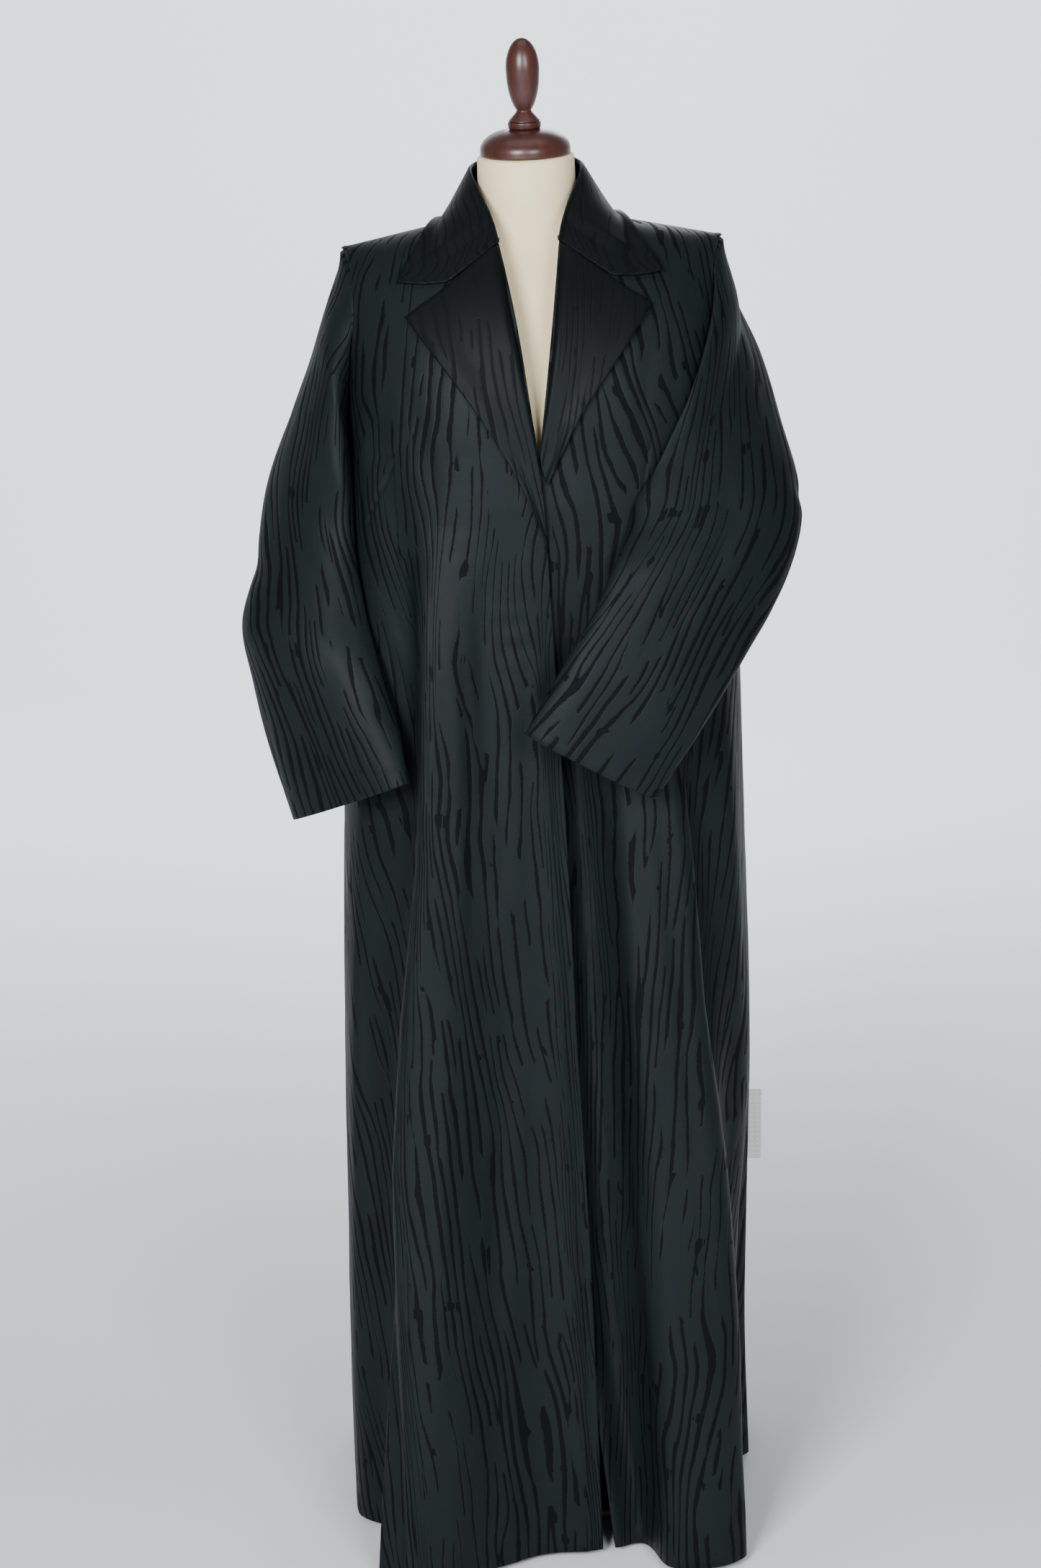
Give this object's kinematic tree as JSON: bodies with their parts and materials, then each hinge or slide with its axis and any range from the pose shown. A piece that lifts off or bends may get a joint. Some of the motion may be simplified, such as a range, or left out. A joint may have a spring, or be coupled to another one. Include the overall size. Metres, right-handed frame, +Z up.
{
  "type": "abaya cloak on a dress form with a wooden stand",
  "caption": "Long open abaya cloak with padded shoulders, notched collar and wide sleeves, resting on a limbless dress form on a turned wooden stand.",
  "frame": {"origin": "centre of the wooden base's underside, on the floor", "axes": "+Z up, +X towards the wearer's left, -Y towards the front"},
  "size_m": [0.6013, 0.5144, 1.6157],
  "materials": {
    "jacquard": "charcoal satin jacquard with raised matte near-black bark lines",
    "jacquard_fine": "the same cloth's finer face on the collar and lapels",
    "label_tape": "pale woven tape, bare",
    "form_jersey": "smooth cream jersey stretched over the form",
    "turned_wood": "red-brown stained wood with a satin varnish"
  },
  "bodies": {
    "root": {"front_right": "jacquard", "front_left": "jacquard", "back": "jacquard", "sleeve_right": "jacquard", "sleeve_left": "jacquard", "collar": "jacquard_fine", "lapel_right": "jacquard_fine", "lapel_left": "jacquard_fine", "side_label": "label_tape", "form_torso": "form_jersey", "form_neck_cap": "turned_wood", "form_ring": "turned_wood", "form_finial": "turned_wood", "form_pole": "turned_wood", "form_base": "turned_wood"}
  },
  "joints": []
}
